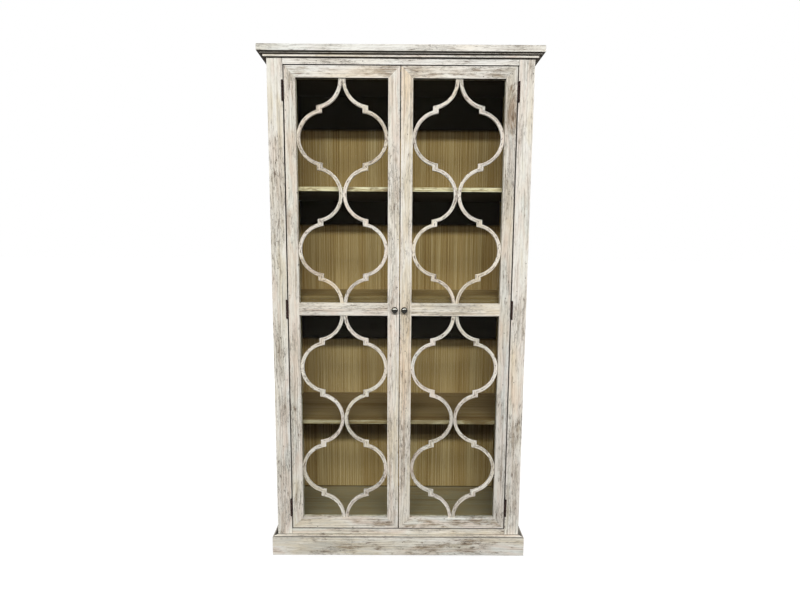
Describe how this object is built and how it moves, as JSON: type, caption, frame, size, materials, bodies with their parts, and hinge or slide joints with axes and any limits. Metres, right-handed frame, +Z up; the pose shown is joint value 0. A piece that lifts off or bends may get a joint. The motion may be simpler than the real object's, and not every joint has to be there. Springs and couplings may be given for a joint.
{
  "type": "display cabinet",
  "caption": "Tall free-standing display cabinet in limed pine: glazed doors behind quatrefoil fretwork, inside shelves, stepped crown and plinth.",
  "frame": {"origin": "middle of the cabinet's overall footprint, on the floor", "axes": "+X across the front to the viewer's right, +Y from the doors to the back, +Z up"},
  "size_m": [1.112, 0.471, 2.1035],
  "materials": {
    "limed_wood": "matt limewash worn through to grey-brown pine",
    "inside_wood": "matt olive-brown oiled pine",
    "glass": "clear float glass",
    "black_iron": "satin black",
    "dark_bronze": "dark oil-rubbed bronze",
    "steel": "zinc-plated",
    "catch_plastic": "brown moulded"
  },
  "bodies": {
    "carcass": {"left_side_panel": "limed_wood", "right_side_panel": "limed_wood", "left_face_stile": "limed_wood", "right_face_stile": "limed_wood", "top_face_rail": "limed_wood", "bottom_face_rail": "limed_wood", "plinth_front": "limed_wood", "left_plinth_side": "limed_wood", "right_plinth_side": "limed_wood", "crown_front": "limed_wood", "left_crown_side": "limed_wood", "right_crown_side": "limed_wood", "cornice_top_board": "limed_wood", "floor_panel": "inside_wood", "ceiling_panel": "inside_wood", "back_panel": "inside_wood", "upper_shelf": "inside_wood", "middle_shelf": "inside_wood", "lower_shelf": "inside_wood", "door_stop": "inside_wood", "base_back_rail": "inside_wood", "base_runner": "inside_wood", "shelf_pins": "steel", "back_panel_screws": "steel", "carcass_screws": "black_iron", "catch_magnets": "catch_plastic", "hinge_frame_leaves": "black_iron", "hinge_pins": "black_iron"},
    "left_door": {"left_door_meeting_stile": "limed_wood", "left_door_hinge_stile": "limed_wood", "left_door_top_rail": "limed_wood", "left_door_middle_rail": "limed_wood", "left_door_bottom_rail": "limed_wood", "left_door_upper_outer_fret": "limed_wood", "left_door_upper_inner_fret": "limed_wood", "left_door_lower_outer_fret": "limed_wood", "left_door_lower_inner_fret": "limed_wood", "left_door_glass_panes": "glass", "left_door_glass_beads": "limed_wood", "left_door_hinge_leaves": "black_iron", "left_door_screws": "black_iron", "left_knob": "dark_bronze", "left_knob_screw": "steel", "left_catch_plate": "steel"},
    "right_door": {"right_door_meeting_stile": "limed_wood", "right_door_hinge_stile": "limed_wood", "right_door_top_rail": "limed_wood", "right_door_middle_rail": "limed_wood", "right_door_bottom_rail": "limed_wood", "right_door_upper_outer_fret": "limed_wood", "right_door_upper_inner_fret": "limed_wood", "right_door_lower_outer_fret": "limed_wood", "right_door_lower_inner_fret": "limed_wood", "right_door_glass_panes": "glass", "right_door_glass_beads": "limed_wood", "right_door_hinge_leaves": "black_iron", "right_door_screws": "black_iron", "right_knob": "dark_bronze", "right_knob_screw": "steel", "right_catch_plate": "steel"}
  },
  "joints": [
    {"name": "left_door_hinge", "type": "hinge", "parent": "carcass", "child": "left_door", "pos_m": [-0.46425, -0.2089, 1.075], "axis": [0, 0, -1], "range_deg": [0, 175]},
    {"name": "right_door_hinge", "type": "hinge", "parent": "carcass", "child": "right_door", "pos_m": [0.46425, -0.2089, 1.075], "axis": [0, 0, 1], "range_deg": [0, 175]}
  ]
}
